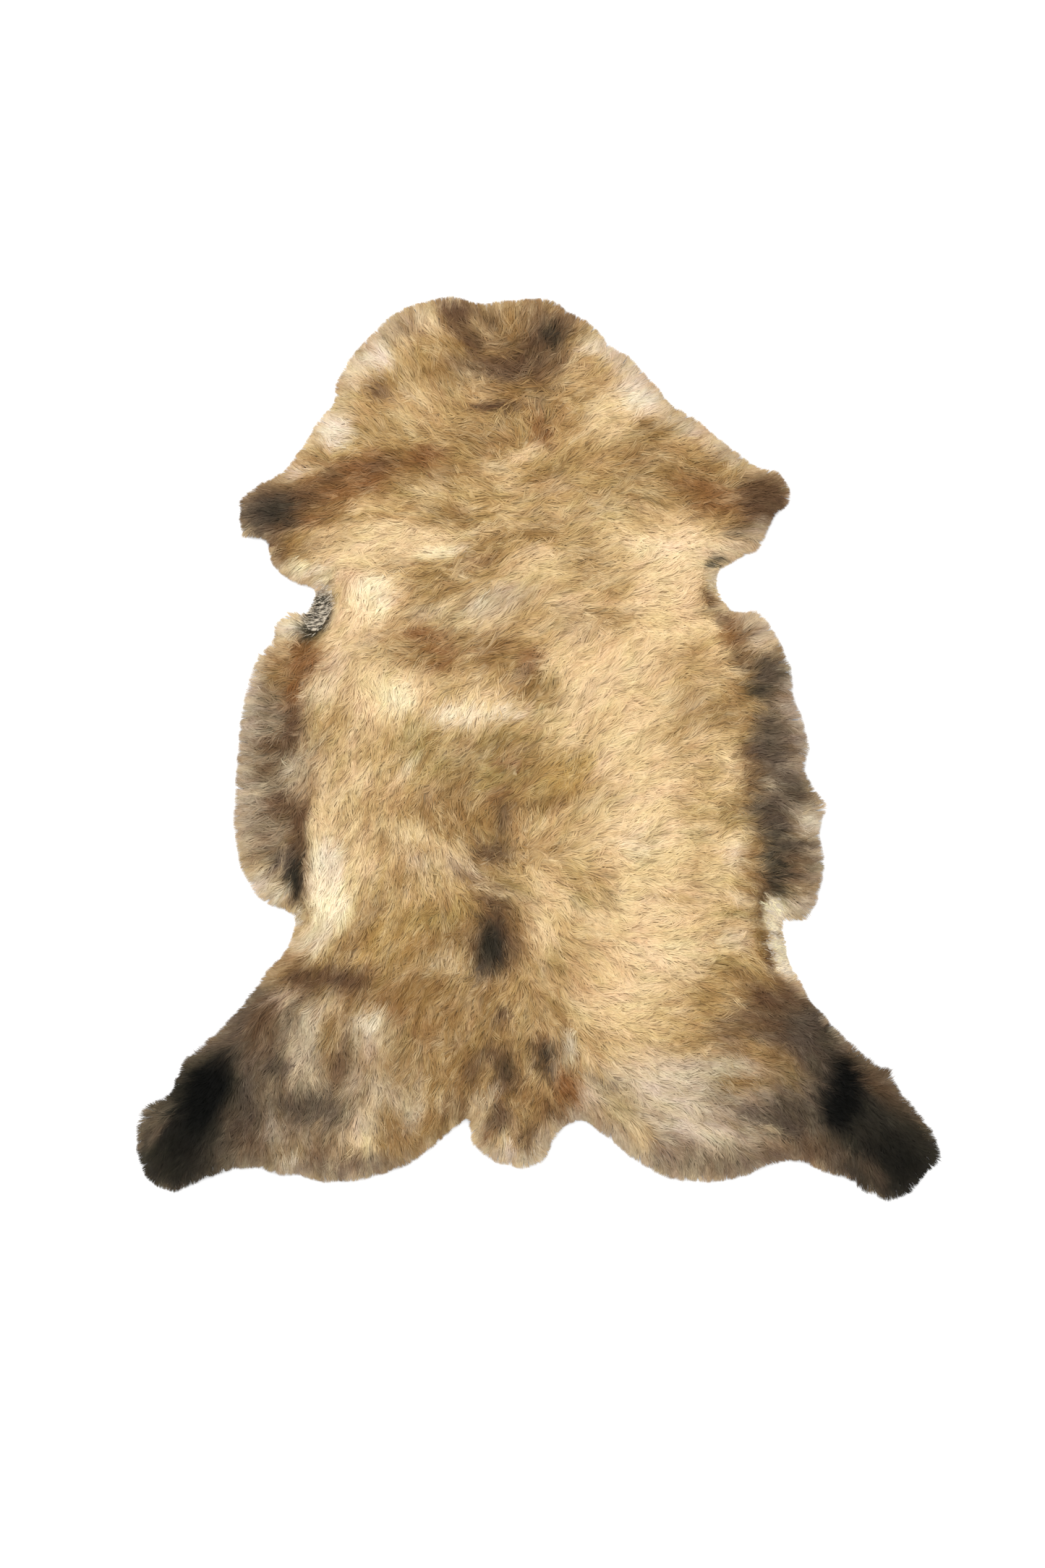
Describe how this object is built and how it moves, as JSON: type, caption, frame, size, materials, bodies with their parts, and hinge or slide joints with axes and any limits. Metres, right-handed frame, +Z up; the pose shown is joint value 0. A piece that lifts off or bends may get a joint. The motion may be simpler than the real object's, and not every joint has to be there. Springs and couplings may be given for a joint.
{
  "type": "sheepskin rug",
  "caption": "Whole natural sheepskin rug lying flat, wool side up, with neck, forelegs, belly flaps, hind legs and tail, and shaggy mottled wool in cream, tan and dark brown.",
  "frame": {"origin": "on the floor, under the centre of the pelt's bounding box", "axes": "+Y from tail to neck, +X to the right as seen from above with the neck away, +Z up out of the wool"},
  "size_m": [0.979, 1.1018, 0.0386],
  "materials": {
    "fleece": "matt curly wool, mottled cream, golden tan, grey-brown and near black",
    "hide": "napped cream suede on the underside"
  },
  "bodies": {
    "root": {"pelt": "fleece"}
  },
  "joints": []
}
